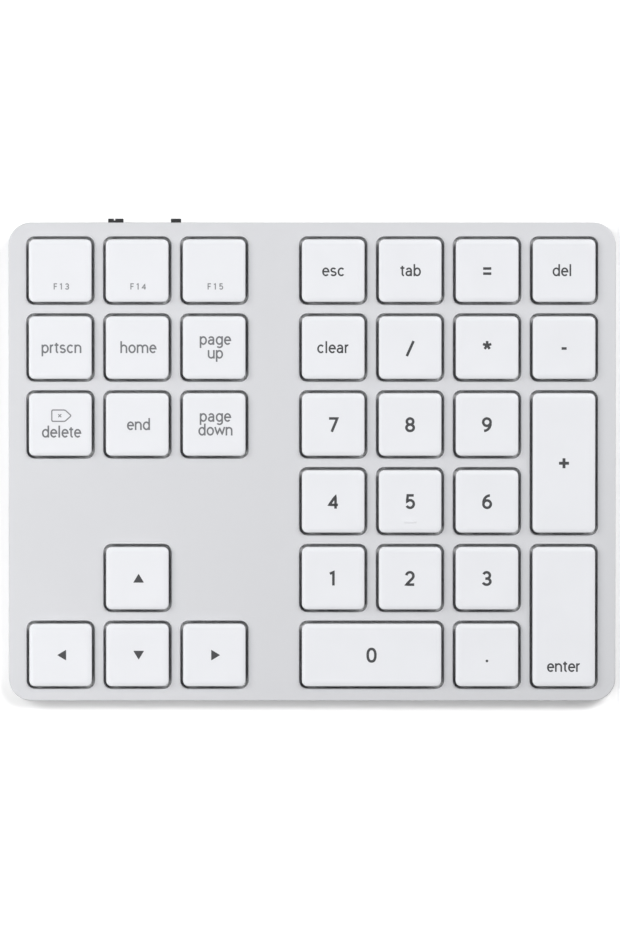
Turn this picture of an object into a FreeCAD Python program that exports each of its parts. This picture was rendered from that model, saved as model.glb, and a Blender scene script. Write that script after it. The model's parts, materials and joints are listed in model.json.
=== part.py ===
import FreeCAD, Part
import math
import os

# Extended numeric keypad: 34 scissor keys in an aluminium case whose deck slopes down
# towards the user. Units are millimetres. The origin is on the table under the middle
# of the keypad, +X points right, +Y to the rear edge with the controls, +Z up.
# Everything that follows the deck is drawn in deck coordinates: u to the right, v up
# the slope to the rear and w square to the deck, with w = 0 on its upper face.

# Case
BODY_WIDTH = 150.0
BODY_DEPTH = 118.2
BODY_CORNER = 5.6
DECK_SLOPE = 2.0              # degrees
DECK_THICKNESS = 1.2
DECK_EDGE_ROUND = 0.15
FRONT_HEIGHT = 5.05           # deck above the table at the front edge
WALL = 1.6
FOOT_PROUD = 0.6              # case and cover above the table
CONTROL_PROUD = 1.1           # switch knob and button behind the rear wall
BODY_MID_Y = -0.45            # the controls behind bring the middle back to the origin

# Key grid
PITCH = 19.0
LEFT_COLUMN = -62.2
RIGHT_COLUMN = 5.2
FIRST_ROW = 47.27
CENTRE_STRIP = -9.5           # middle of the plain strip between the two groups
OPENING_SIZE = 16.7
OPENING_CORNER = 2.0
OPENING_CHAMFER = 0.15

# Keycaps
CAP_SIZE = 15.5
CAP_CORNER = 1.4
CAP_TOP = 2.0
CAP_CEILING = 1.0
CAP_BOTTOM = -0.5
CAP_WALL = 1.0
CAP_EDGE_ROUND = 0.5
HOMING_BAR = (3.0, 0.7, 0.2)  # length, width, height above the cap of key 5
HOMING_BAR_SETBACK = 5.0
KEY_TRAVEL = 1.8

# Contact membrane and key plate, from the top down
MEMBRANE_TOP = -2.60
SPACER_TOP = -2.70
BOTTOM_LAYER_TOP = -2.75
PLATE_TOP = -2.85
PLATE_BOTTOM = -3.25
PLATE_WIDTH = 145.8
PLATE_DEPTH = 113.8
PLATE_CORNER = 3.6
MEMBRANE_INSET = 0.4
CONTACT_RADIUS = 2.0
TAIL_WIDTH = 11.0
TAIL_V = 50.0
TAIL_END = -5.25

# Scissor links: each frame has a rod at either end
ROD_RADIUS = 0.35
TOP_ROD_V = 3.5
TOP_ROD_W = 0.4
LOW_ROD_V = 4.7
LOW_ROD_W = -2.15
LINK_THICKNESS = 0.7
LINK_BAR = 0.9
OUTER_HALF_WIDTH = 5.6
INNER_HALF_WIDTH = 4.5
PIVOT_RADIUS = 0.22
CLIP_U = 2.6
CLIP_WIDTH = 1.2
HOOK_SHEET = 0.35
HOOK_LIP_W = -1.7
FIT = 0.05                    # gap all round a pin, rod or screw

# Wire stabiliser of the wide keys
BAR_V = 6.2
BAR_W = 0.5
BAR_HALF_LENGTH = 13.5
BAR_LEG = 8.0
BAR_TIP_W = -2.05
BAR_TIP_LENGTH = 1.3
BAR_CLIP_U = 9.0

# Screws, bosses and bottom cover
COVER_BOTTOM = FOOT_PROUD
COVER_TOP = 1.6
COVER_GAP = 0.15
COVER_BOSS_RADIUS = 1.6
COVER_SCREW_RADIUS = 0.775
COVER_SCREW_HEAD = (1.5, 0.45)     # radius, height
COVER_SCREW_SEAT = 1.1
COVER_SCREW_END = 4.2
INNER_BOSS_RADIUS = 1.5
INNER_SCREW_RADIUS = 0.575
INNER_SCREW_HEAD = (1.2, 0.4)
INNER_SCREW_LENGTH = 1.9
FOOT_RADIUS = 5.0
FOOT_RECESS = 0.2
FOOT_POSITIONS = [(-64.0, -49.0), (64.0, -49.0), (-64.0, 48.5), (64.0, 48.5)]

# Circuit board and what it carries
BOARD_LEFT, BOARD_RIGHT = -56.0, 2.0
BOARD_FRONT, BOARD_REAR = 43.4, 55.8
BOARD_BOTTOM, BOARD_TOP = 2.2, 3.0
BOARD_SCREWS = [(-54.2, 46.8), (-38.5, 46.0), (-20.0, 45.6)]
PORT_X = -20.0
PORT_WIDTH, PORT_HEIGHT = 7.5, 2.45
PORT_REAR = 57.6
PORT_LENGTH = 5.0
CONTROL_Z = 3.9
CONTROL_HEIGHT = 1.7
SWITCH_X = -48.6
SWITCH_WIDTH = 3.78
SWITCH_TRAVEL = 2.0
BUTTON_X = -33.7
BUTTON_WIDTH = 2.52
BUTTON_TRAVEL = 0.4
CONTROL_CLEARANCE = 0.1

# Battery
BATTERY_LEFT, BATTERY_RIGHT = -6.0, 39.0
BATTERY_FRONT, BATTERY_REAR = 10.0, 38.0
BATTERY_THICKNESS = 2.1
LEAD_RADIUS = 0.45
LEAD_X = (-2.6, -1.2)

FRONT_Y = BODY_MID_Y - BODY_DEPTH / 2
REAR_Y = BODY_MID_Y + BODY_DEPTH / 2
DECK_MID_Z = FRONT_HEIGHT + BODY_DEPTH / 2 * math.tan(math.radians(DECK_SLOPE))
X_AXIS = FreeCAD.Vector(1, 0, 0)
Y_AXIS = FreeCAD.Vector(0, 1, 0)
Z_AXIS = FreeCAD.Vector(0, 0, 1)
DECK = FreeCAD.Placement(
    FreeCAD.Vector(0, BODY_MID_Y, DECK_MID_Z), FreeCAD.Rotation(X_AXIS, DECK_SLOPE)
)

LEFT = [LEFT_COLUMN + PITCH * i for i in range(3)]
RIGHT = [RIGHT_COLUMN + PITCH * i for i in range(4)]
ROWS = [FIRST_ROW - PITCH * i for i in range(6)]
HALF = PITCH / 2

LEFT_KEYS = [
    ["key_f13", "key_f14", "key_f15"],
    ["key_prtscn", "key_home", "key_page_up"],
    ["key_delete", "key_end", "key_page_down"],
    [None, None, None],
    [None, "key_up", None],
    ["key_left", "key_down", "key_right"],
]
RIGHT_KEYS = [
    ["key_esc", "key_tab", "key_equals", "key_del"],
    ["key_clear", "key_divide", "key_multiply", "key_minus"],
    ["key_7", "key_8", "key_9", None],
    ["key_4", "key_5", "key_6", None],
    ["key_1", "key_2", "key_3", None],
    [None, None, "key_decimal", None],
]
# Keys two pitches long: u, v and the turn of the long side from the u direction
WIDE_KEYS = {
    "key_plus": (RIGHT[3], ROWS[2] - HALF, 90),
    "key_enter": (RIGHT[3], ROWS[4] - HALF, 90),
    "key_0": (RIGHT[0] + HALF, ROWS[5], 0),
}

# Bosses stand where the corners of four openings meet, or in the plain areas
COVER_SCREWS = [
    (LEFT[0] + HALF, ROWS[0] - HALF),
    (CENTRE_STRIP, ROWS[0] - HALF),
    (RIGHT[2] + HALF, ROWS[0] - HALF),
    (LEFT[0], ROWS[4]),
    (CENTRE_STRIP, ROWS[3]),
    (CENTRE_STRIP, ROWS[5] - 4.5),
    (RIGHT[2] + HALF, ROWS[3] - HALF),
    (RIGHT[1] + HALF, ROWS[4] - HALF),
]
PLATE_SCREWS = [
    (LEFT[1] + HALF, ROWS[0] - HALF),
    (LEFT[0] + HALF, ROWS[1] - HALF),
    (LEFT[1] + HALF, ROWS[1] - HALF),
    (LEFT[0] + HALF, ROWS[4] - HALF),
    (LEFT[1] + HALF, ROWS[4] - HALF),
    (RIGHT[0] + HALF, ROWS[0] - HALF),
    (RIGHT[1] + HALF, ROWS[0] - HALF),
    (RIGHT[0] + HALF, ROWS[1] - HALF),
    (RIGHT[1] + HALF, ROWS[1] - HALF),
    (RIGHT[2] + HALF, ROWS[1] - HALF),
    (RIGHT[0] + HALF, ROWS[2] - HALF),
    (RIGHT[1] + HALF, ROWS[2] - HALF),
    (RIGHT[0] + HALF, ROWS[3] - HALF),
    (RIGHT[1] + HALF, ROWS[3] - HALF),
]


def key_table():
    """Every key as name, u, v, turn and length along its own long side."""
    keys = []
    for columns, names in ((LEFT, LEFT_KEYS), (RIGHT, RIGHT_KEYS)):
        for v, row in zip(ROWS, names):
            for u, name in zip(columns, row):
                if name:
                    keys.append((name, u, v, 0, 0.0))
    for name, (u, v, turn) in WIDE_KEYS.items():
        keys.append((name, u, v, turn, PITCH))
    return keys


KEYS = key_table()


def box(x0, x1, y0, y1, z0, z1):
    return Part.makeBox(x1 - x0, y1 - y0, z1 - z0, FreeCAD.Vector(x0, y0, z0))


def rod(start, end, radius):
    """Round bar between two points."""
    first = FreeCAD.Vector(*start)
    along = FreeCAD.Vector(*end) - first
    return Part.makeCylinder(radius, along.Length, first, along)


def rounded_outline(width, depth, radius, z=0.0, x=0.0, y=0.0):
    """Closed rectangle with round corners, centred on (x, y) at height z."""
    reach_x = width / 2 - radius
    reach_y = depth / 2 - radius
    corners = [(reach_x, reach_y), (-reach_x, reach_y), (-reach_x, -reach_y), (reach_x, -reach_y)]
    arcs = []
    for quarter, (cx, cy) in enumerate(corners):
        centre = FreeCAD.Vector(x + cx, y + cy, z)
        arcs.append(Part.makeCircle(radius, centre, Z_AXIS, 90 * quarter, 90 * quarter + 90))
    edges = []
    for arc, following in zip(arcs, arcs[1:] + arcs[:1]):
        edges.append(arc)
        edges.append(Part.makeLine(arc.valueAt(arc.LastParameter), following.valueAt(following.FirstParameter)))
    return Part.Wire(edges)


def rounded_block(width, depth, radius, bottom, top, x=0.0, y=0.0):
    outline = rounded_outline(width, depth, radius, bottom, x, y)
    return Part.Face(outline).extrude(FreeCAD.Vector(0, 0, top - bottom))


def rounded_wall_hole(width, height, radius, x, z):
    """Cutter through the rear wall with round corners, centred on (x, z)."""
    block = rounded_block(width, height, radius, -WALL, WALL)
    stand = FreeCAD.Placement(FreeCAD.Vector(x, REAR_Y, z), FreeCAD.Rotation(X_AXIS, 90))
    return block.transformed(stand.toMatrix())


def on_deck(shape, u=0.0, v=0.0, turn=0.0):
    """Shape drawn about a key's own centre, carried to (u, v) on the sloping deck."""
    spot = FreeCAD.Placement(FreeCAD.Vector(u, v, 0), FreeCAD.Rotation(Z_AXIS, turn))
    return shape.transformed(DECK.multiply(spot).toMatrix())


def upright_at(u, v):
    """World x and y of a vertical boss that crosses the membrane at (u, v)."""
    point = DECK.multVec(FreeCAD.Vector(u, v, MEMBRANE_TOP))
    return point.x, point.y


def edges_at_height(shape, z):
    return [e for e in shape.Edges if abs(e.BoundBox.ZMin - z) < 1e-6 and abs(e.BoundBox.ZMax - z) < 1e-6]


def clip(u, v, w, length, drop):
    """Open clip under a keycap that snaps over a rod along u at (v, w)."""
    block = box(u - CLIP_WIDTH / 2, u + CLIP_WIDTH / 2, v - length / 2, v + length / 2, w - drop, CAP_CEILING)
    seat = rod((u - CLIP_WIDTH, v, w), (u + CLIP_WIDTH, v, w), ROD_RADIUS + FIT)
    mouth = box(u - CLIP_WIDTH, u + CLIP_WIDTH, v - 0.3, v + 0.3, w - drop - 1, w)
    return block.cut([seat, mouth])


def keycap(extra_length):
    """Hollow cap with its clips; extra_length stretches it along u."""
    outside = rounded_block(CAP_SIZE + extra_length, CAP_SIZE, CAP_CORNER, CAP_BOTTOM, CAP_TOP)
    outside = outside.makeFillet(CAP_EDGE_ROUND, edges_at_height(outside, CAP_TOP))
    inner = CAP_SIZE - 2 * CAP_WALL
    hollow = rounded_block(inner + extra_length, inner, 0.6, CAP_BOTTOM, CAP_CEILING)
    clips = [clip(u, v, TOP_ROD_W, 1.4, 0.5) for u in (-CLIP_U, CLIP_U) for v in (-TOP_ROD_V, TOP_ROD_V)]
    if extra_length:
        clips += [clip(u, BAR_V, BAR_W, 1.3, 0.45) for u in (-BAR_CLIP_U, BAR_CLIP_U)]
        inside = rounded_block(CAP_SIZE + extra_length, CAP_SIZE, CAP_CORNER, -9, 9)
        clips = [c.common(inside) for c in clips]
    return outside.cut(hollow).fuse(clips).removeSplitter()


def homing_bar():
    length, width, height = HOMING_BAR
    bar = rounded_block(length, width, width / 2 - 0.01, CAP_TOP - 0.2, CAP_TOP + height, 0, -HOMING_BAR_SETBACK)
    return bar.makeFillet(0.15, edges_at_height(bar, CAP_TOP + height))


def scissor_frame(half_width, direction):
    """Link frame that climbs towards +v for direction 1 and towards -v for direction -1."""
    top = (direction * TOP_ROD_V, TOP_ROD_W)
    low = (-direction * LOW_ROD_V, LOW_ROD_W)
    run = top[0] - low[0]
    rise = top[1] - low[1]
    length = math.hypot(run, rise)
    lift = math.degrees(math.atan2(rise, run))
    stand = FreeCAD.Placement(FreeCAD.Vector(0, low[0], low[1]), FreeCAD.Rotation(X_AXIS, lift))
    pieces = []
    for side in (-1, 1):
        near = min(side * half_width, side * (half_width - LINK_BAR))
        bar = box(near, near + LINK_BAR, 0, length, -LINK_THICKNESS / 2, LINK_THICKNESS / 2)
        pieces.append(bar.transformed(stand.toMatrix()))
    for v, w in (top, low):
        pieces.append(rod((-half_width, v, w), (half_width, v, w), ROD_RADIUS))
    return pieces[0].fuse(pieces[1:])


def scissor_pair():
    """Outer and inner frame, joined by pins on the inner one where they cross."""
    cross_w = TOP_ROD_W - TOP_ROD_V * (TOP_ROD_W - LOW_ROD_W) / (TOP_ROD_V + LOW_ROD_V)
    outer = scissor_frame(OUTER_HALF_WIDTH, 1)
    inner = scissor_frame(INNER_HALF_WIDTH, -1)
    sockets = []
    pins = []
    for side in (-1, 1):
        root = side * (INNER_HALF_WIDTH - 0.3)
        pins.append(rod((root, 0, cross_w), (side * 5.2, 0, cross_w), PIVOT_RADIUS))
        sockets.append(rod((root, 0, cross_w), (side * 5.3, 0, cross_w), PIVOT_RADIUS + FIT))
    return outer.cut(sockets), inner.fuse(pins)


def rubber_dome():
    """Hollow spring dome under one key, standing on the membrane."""
    outside = [(3.3, MEMBRANE_TOP), (3.3, -2.35), (2.85, -2.2), (1.75, 0.2), (1.7, 0.9)]
    inside = [(1.1, 0.9), (1.0, 0.45), (0.45, -0.15), (1.45, -0.1), (2.5, -2.25), (2.6, MEMBRANE_TOP)]
    points = [FreeCAD.Vector(r, 0, w) for r, w in outside + inside]
    section = Part.Face(Part.makePolygon(points + points[:1]))
    return section.revolve(FreeCAD.Vector(0, 0, 0), Z_AXIS, 360)


def stabiliser_bar():
    """Bent wire of a wide key: a bar in the cap clips, two legs and two turned-out tips."""
    reach = math.sqrt(BAR_LEG ** 2 - (BAR_W - BAR_TIP_W) ** 2)
    pieces = [rod((-BAR_HALF_LENGTH, BAR_V, BAR_W), (BAR_HALF_LENGTH, BAR_V, BAR_W), ROD_RADIUS)]
    for side in (-1, 1):
        knee = (side * BAR_HALF_LENGTH, BAR_V, BAR_W)
        foot = (side * BAR_HALF_LENGTH, BAR_V - reach, BAR_TIP_W)
        tip = (side * (BAR_HALF_LENGTH + BAR_TIP_LENGTH), BAR_V - reach, BAR_TIP_W)
        pieces += [rod(knee, foot, ROD_RADIUS), rod(foot, tip, ROD_RADIUS)]
        pieces += [Part.makeSphere(ROD_RADIUS, FreeCAD.Vector(*bend)) for bend in (knee, foot)]
    return pieces[0].fuse(pieces[1:])


def plate_hooks(extra_length):
    """Tabs bent up from the key plate round the lower rods of one key."""
    hooks = []
    back = LOW_ROD_V + ROD_RADIUS + FIT
    for u in (-CLIP_U, CLIP_U):
        for side in (-1, 1):
            near, far = sorted((side * back, side * (back + HOOK_SHEET)))
            lip_near, lip_far = sorted((side * (LOW_ROD_V - 0.3), side * (back + HOOK_SHEET)))
            left, right = u - CLIP_WIDTH / 2, u + CLIP_WIDTH / 2
            stem = box(left, right, near, far, PLATE_TOP, HOOK_LIP_W + HOOK_SHEET)
            lip = box(left, right, lip_near, lip_far, HOOK_LIP_W, HOOK_LIP_W + HOOK_SHEET)
            hooks.append(stem.fuse(lip).removeSplitter())
    if extra_length:
        for side in (-1, 1):
            hooks.append(stabiliser_eye(side))
    return hooks


def stabiliser_eye(side):
    """Upright tab with a slot that guides one tip of a stabiliser bar."""
    tip_v = BAR_V - math.sqrt(BAR_LEG ** 2 - (BAR_W - BAR_TIP_W) ** 2)
    near, far = sorted((side * (BAR_HALF_LENGTH + 0.6), side * (BAR_HALF_LENGTH + 1.0)))
    tab = box(near, far, tip_v - 1.6, tip_v + 1.2, PLATE_TOP, -1.2)
    slot = box(near - 1, far + 1, tip_v - 0.95, tip_v + 0.5, BAR_TIP_W - 0.45, BAR_TIP_W + 0.45)
    return tab.cut(slot)


def hook_slots(u, v, turn, extra_length, inset):
    """Outlines in deck coordinates of the holes that one key's tabs need in a sheet."""
    slots = []
    back = LOW_ROD_V + ROD_RADIUS + FIT
    for hook_u in (-CLIP_U, CLIP_U):
        for side in (-1, 1):
            middle = side * (back + HOOK_SHEET / 2)
            slots.append((hook_u, middle, CLIP_WIDTH + 2 * inset, HOOK_SHEET + 2 * inset))
    if extra_length:
        tip_v = BAR_V - math.sqrt(BAR_LEG ** 2 - (BAR_W - BAR_TIP_W) ** 2)
        for side in (-1, 1):
            slots.append((side * (BAR_HALF_LENGTH + 0.8), tip_v - 0.2, 0.4 + 2 * inset, 2.8 + 2 * inset))
    spot = FreeCAD.Placement(FreeCAD.Vector(u, v, 0), FreeCAD.Rotation(Z_AXIS, turn))
    outlines = []
    for x, y, width, depth in slots:
        outline = rounded_outline(width, depth, 0.1, 0.0, x, y)
        outlines.append(outline.transformed(spot.toMatrix()))
    return outlines


def tab_windows(u, v, turn):
    """Windows left in the key plate where the tabs of one key were bent out of it."""
    spot = FreeCAD.Placement(FreeCAD.Vector(u, v, 0), FreeCAD.Rotation(Z_AXIS, turn))
    windows = []
    for window_u in (-CLIP_U, CLIP_U):
        for side in (-1, 1):
            outline = rounded_outline(CLIP_WIDTH + 0.2, 2.0, 0.1, 0.0, window_u, side * (LOW_ROD_V - 0.7))
            windows.append(outline.transformed(spot.toMatrix()))
    return windows


def hole_outline(u, v, radius):
    return Part.Wire(Part.makeCircle(radius, FreeCAD.Vector(u, v, 0), Z_AXIS))


def sheet(width, depth, corner, holes, bottom, top):
    """Flat sheet with holes, lying parallel to the deck between two levels."""
    outlines = [rounded_outline(width, depth, corner)] + holes
    face = Part.makeFace(outlines, "Part::FaceMakerBullseye")
    solid = face.extrude(FreeCAD.Vector(0, 0, top - bottom)).Solids[0]
    solid.translate(FreeCAD.Vector(0, 0, bottom))
    return solid


def membrane_layer(bottom, top, contact_holes):
    holes = []
    for name, u, v, turn, extra in KEYS:
        holes += hook_slots(u, v, turn, extra, 0.15)
        if contact_holes:
            holes.append(hole_outline(u, v, CONTACT_RADIUS))
    holes += [hole_outline(u, v, COVER_BOSS_RADIUS + 0.35) for u, v in COVER_SCREWS]
    holes += [hole_outline(u, v, INNER_BOSS_RADIUS + 0.25) for u, v in PLATE_SCREWS]
    width = PLATE_WIDTH - 2 * MEMBRANE_INSET
    depth = PLATE_DEPTH - 2 * MEMBRANE_INSET
    return sheet(width, depth, PLATE_CORNER, holes, bottom, top)


def membrane_bottom_layer():
    """Lowest layer, with the tail that drops through the key plate to the board."""
    layer = membrane_layer(PLATE_TOP, BOTTOM_LAYER_TOP, False)
    left, right = CENTRE_STRIP - TAIL_WIDTH / 2, CENTRE_STRIP + TAIL_WIDTH / 2
    tail = box(left, right, TAIL_V - 0.05, TAIL_V + 0.05, TAIL_END, BOTTOM_LAYER_TOP)
    return layer.fuse(tail).removeSplitter()


def key_plate():
    """Steel sheet under the membrane with the tabs that hold the scissor links."""
    holes = [rounded_outline(TAIL_WIDTH + 1.0, 1.0, 0.4, 0.0, CENTRE_STRIP, TAIL_V)]
    tabs = []
    for name, u, v, turn, extra in KEYS:
        holes += tab_windows(u, v, turn)
        spot = FreeCAD.Placement(FreeCAD.Vector(u, v, 0), FreeCAD.Rotation(Z_AXIS, turn))
        tabs += [tab.transformed(spot.toMatrix()) for tab in plate_hooks(extra)]
    holes += [hole_outline(u, v, COVER_BOSS_RADIUS + 0.35) for u, v in COVER_SCREWS]
    holes += [hole_outline(u, v, INNER_SCREW_RADIUS + 0.15) for u, v in PLATE_SCREWS]
    flat = sheet(PLATE_WIDTH, PLATE_DEPTH, PLATE_CORNER, holes, PLATE_BOTTOM, PLATE_TOP)
    return flat.fuse(tabs).removeSplitter()


def deck_slab(below, above):
    """Large block between two levels of the deck, wider than the case."""
    return on_deck(box(-BODY_WIDTH, BODY_WIDTH, -BODY_DEPTH, BODY_DEPTH, below, above))


def opening_cutter(extra_length):
    """Key opening through the deck with a small chamfer round its upper edge."""
    width = OPENING_SIZE + extra_length
    hole = rounded_block(width, OPENING_SIZE, OPENING_CORNER, -DECK_THICKNESS - 1, 1)
    low = rounded_outline(width, OPENING_SIZE, OPENING_CORNER, -OPENING_CHAMFER)
    grow = 2 * OPENING_CHAMFER
    high = rounded_outline(
        width + grow * 2, OPENING_SIZE + grow * 2, OPENING_CORNER + grow, OPENING_CHAMFER
    )
    flare = Part.makeLoft([low, high], True, True)
    return hole.fuse(flare)


def case_shell():
    """Outer case without its openings: sloping deck and four walls."""
    block = rounded_block(BODY_WIDTH, BODY_DEPTH, BODY_CORNER, FOOT_PROUD, 20, 0, BODY_MID_Y)
    block = block.common(deck_slab(-30, 0))
    rim = []
    for edge in block.Edges:
        ends = [DECK.inverse().multVec(vertex.Point).z for vertex in edge.Vertexes]
        if all(abs(w) < 1e-6 for w in ends):
            rim.append(edge)
    block = block.makeFillet(DECK_EDGE_ROUND, rim)
    inside = rounded_block(
        BODY_WIDTH - 2 * WALL, BODY_DEPTH - 2 * WALL, BODY_CORNER - WALL, 0, 20, 0, BODY_MID_Y
    )
    return block.cut(inside.common(deck_slab(-30, -DECK_THICKNESS)))


def cover_bosses():
    """Bosses from the deck down to the cover, with the pilot holes for its screws."""
    bosses = []
    pilots = []
    below_deck = deck_slab(-30, -DECK_THICKNESS / 2)
    for u, v in COVER_SCREWS:
        x, y = upright_at(u, v)
        bosses.append(rod((x, y, COVER_TOP), (x, y, 12), COVER_BOSS_RADIUS).common(below_deck))
        pilots.append(rod((x, y, 0), (x, y, COVER_SCREW_END + 0.1), COVER_SCREW_RADIUS + FIT))
    return bosses, pilots


def plate_bosses():
    """Short bosses from the deck to the key plate, with their pilot holes."""
    bosses = []
    pilots = []
    screw_end = PLATE_BOTTOM + INNER_SCREW_LENGTH
    for u, v in PLATE_SCREWS:
        bosses.append(on_deck(rod((0, 0, PLATE_TOP), (0, 0, -0.6), INNER_BOSS_RADIUS), u, v))
        pilot = rod((0, 0, PLATE_BOTTOM), (0, 0, screw_end + 0.1), INNER_SCREW_RADIUS + FIT)
        pilots.append(on_deck(pilot, u, v))
    return bosses, pilots


def rear_wall_holes():
    height = CONTROL_HEIGHT + 2 * CONTROL_CLEARANCE
    switch_slot = rounded_wall_hole(
        SWITCH_WIDTH + SWITCH_TRAVEL + 2 * CONTROL_CLEARANCE, height, 0.3,
        SWITCH_X + SWITCH_TRAVEL / 2, CONTROL_Z
    )
    button_hole = rounded_wall_hole(
        BUTTON_WIDTH + 2 * CONTROL_CLEARANCE, height, 0.3, BUTTON_X, CONTROL_Z
    )
    port_hole = rounded_wall_hole(
        PORT_WIDTH + 0.6, PORT_HEIGHT + 0.6, 1.0, PORT_X, BOARD_TOP + PORT_HEIGHT / 2
    )
    return [switch_slot, button_hole, port_hole]


def top_case():
    single_opening = opening_cutter(0.0)
    wide_opening = opening_cutter(PITCH)
    openings = []
    for name, u, v, turn, extra in KEYS:
        openings.append(on_deck(wide_opening if extra else single_opening, u, v, turn))
    long_bosses, long_pilots = cover_bosses()
    short_bosses, short_pilots = plate_bosses()
    case = case_shell().fuse(long_bosses + short_bosses)
    case = case.cut(openings + long_pilots + short_pilots + rear_wall_holes())
    return case.removeSplitter()


def bottom_cover():
    """Cover inside the case walls with screw seats, board posts and a battery frame."""
    gap = WALL + COVER_GAP
    cover = rounded_block(
        BODY_WIDTH - 2 * gap, BODY_DEPTH - 2 * gap, BODY_CORNER - gap, COVER_BOTTOM, COVER_TOP, 0, BODY_MID_Y
    )
    posts = [rod((x, y, COVER_TOP), (x, y, BOARD_BOTTOM), 1.6) for x, y in BOARD_SCREWS]
    battery_x = (BATTERY_LEFT + BATTERY_RIGHT) / 2
    battery_y = (BATTERY_FRONT + BATTERY_REAR) / 2
    battery_width = BATTERY_RIGHT - BATTERY_LEFT
    battery_depth = BATTERY_REAR - BATTERY_FRONT
    frame = rounded_block(battery_width + 2.0, battery_depth + 2.0, 1.4, COVER_TOP, 2.6, battery_x, battery_y)
    well = rounded_block(battery_width + 0.4, battery_depth + 0.4, 0.6, COVER_TOP, 2.6, battery_x, battery_y)
    lead_gap = box(LEAD_X[0] - 1.2, LEAD_X[1] + 1.2, BATTERY_REAR, BATTERY_REAR + 2, COVER_TOP, 3)
    cover = cover.fuse(posts + [frame.cut([well, lead_gap])])
    cuts = []
    for u, v in COVER_SCREWS:
        x, y = upright_at(u, v)
        cuts.append(rod((x, y, 0), (x, y, 3), COVER_SCREW_RADIUS + 0.15))
        cuts.append(rod((x, y, 0), (x, y, COVER_SCREW_SEAT), COVER_SCREW_HEAD[0] + 0.2))
    for x, y in BOARD_SCREWS:
        screw_end = BOARD_TOP - INNER_SCREW_LENGTH
        cuts.append(rod((x, y, screw_end - 0.1), (x, y, 3), INNER_SCREW_RADIUS + FIT))
    for x, y in FOOT_POSITIONS:
        cuts.append(rod((x, y, 0), (x, y, COVER_BOTTOM + FOOT_RECESS), FOOT_RADIUS + FIT))
    return cover.cut(cuts).removeSplitter()


def rubber_feet():
    feet = []
    for x, y in FOOT_POSITIONS:
        foot = rod((x, y, 0), (x, y, COVER_BOTTOM + FOOT_RECESS), FOOT_RADIUS)
        feet.append(foot.makeFillet(0.25, edges_at_height(foot, 0)))
    return Part.makeCompound(feet)


def screw(radius, length, head, drive_radius):
    """Pan-head screw with its shank along +Z and its head below the origin."""
    head_radius, head_height = head
    body = rod((0, 0, 0), (0, 0, length), radius)
    cap = rod((0, 0, -head_height), (0, 0, 0), head_radius)
    cap = cap.makeFillet(0.15, edges_at_height(cap, -head_height))
    arms = [
        box(-drive_radius, drive_radius, -0.12, 0.12, -head_height, -head_height + 0.25),
        box(-0.12, 0.12, -drive_radius, drive_radius, -head_height, -head_height + 0.25),
    ]
    return body.fuse(cap).removeSplitter().cut(arms)


def cover_screws():
    one = screw(COVER_SCREW_RADIUS, COVER_SCREW_END - COVER_SCREW_SEAT, COVER_SCREW_HEAD, 0.8)
    placed = []
    for u, v in COVER_SCREWS:
        x, y = upright_at(u, v)
        placed.append(one.translated(FreeCAD.Vector(x, y, COVER_SCREW_SEAT)))
    return Part.makeCompound(placed)


def internal_screws():
    """Screws of the key plate, driven from below, and of the board, driven from above."""
    one = screw(INNER_SCREW_RADIUS, INNER_SCREW_LENGTH, INNER_SCREW_HEAD, 0.6)
    lowered = one.translated(FreeCAD.Vector(0, 0, PLATE_BOTTOM))
    placed = [on_deck(lowered, u, v) for u, v in PLATE_SCREWS]
    for x, y in BOARD_SCREWS:
        turned = FreeCAD.Placement(FreeCAD.Vector(x, y, BOARD_TOP), FreeCAD.Rotation(X_AXIS, 180))
        placed.append(one.transformed(turned.toMatrix()))
    return Part.makeCompound(placed)


def control_grip(x, width):
    """Part of a control that shows behind the rear wall, with its flange inside."""
    low = CONTROL_Z - CONTROL_HEIGHT / 2
    high = CONTROL_Z + CONTROL_HEIGHT / 2
    grip = box(x - width / 2, x + width / 2, 56.9, REAR_Y + CONTROL_PROUD, low, high)
    edges = [e for e in grip.Edges if e.BoundBox.YMin > REAR_Y]
    return grip.makeFillet(0.2, edges)


def power_switch_knob():
    grip = control_grip(SWITCH_X, SWITCH_WIDTH)
    notch = box(SWITCH_X - 0.5, SWITCH_X - 0.15, REAR_Y + CONTROL_PROUD - 0.45, REAR_Y + 2, 2, 6)
    flange = box(SWITCH_X - 4.3, SWITCH_X + 4.3, 56.35, 56.9, 2.5, 5.3)
    stub = box(SWITCH_X - 0.65, SWITCH_X + 0.65, 54.5, 56.35, 3.35, 4.05)
    return grip.cut(notch).fuse([flange, stub]).removeSplitter()


def slide_switch_body():
    body = box(SWITCH_X - 3.5, SWITCH_X + 5.5, 52.2, 54.9, BOARD_TOP, 4.6)
    groove = box(SWITCH_X - 0.75, SWITCH_X + 0.75 + SWITCH_TRAVEL, 54.4, 55, 3.25, 4.15)
    return body.cut(groove)


def pairing_button():
    grip = control_grip(BUTTON_X, BUTTON_WIDTH)
    flange = box(BUTTON_X - 2.1, BUTTON_X + 2.1, 56.35, 56.9, 2.5, 5.3)
    stem = rod((BUTTON_X, 55.5, CONTROL_Z), (BUTTON_X, 56.35, CONTROL_Z), 0.7)
    return grip.fuse([flange, stem]).removeSplitter()


def pairing_switch_body():
    body = box(BUTTON_X - 2.2, BUTTON_X + 2.2, 51.9, 54.5, BOARD_TOP, 5.0)
    bore = rod((BUTTON_X, 53.3, CONTROL_Z), (BUTTON_X, 55, CONTROL_Z), 0.6 + FIT)
    return body.cut(bore)


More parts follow.
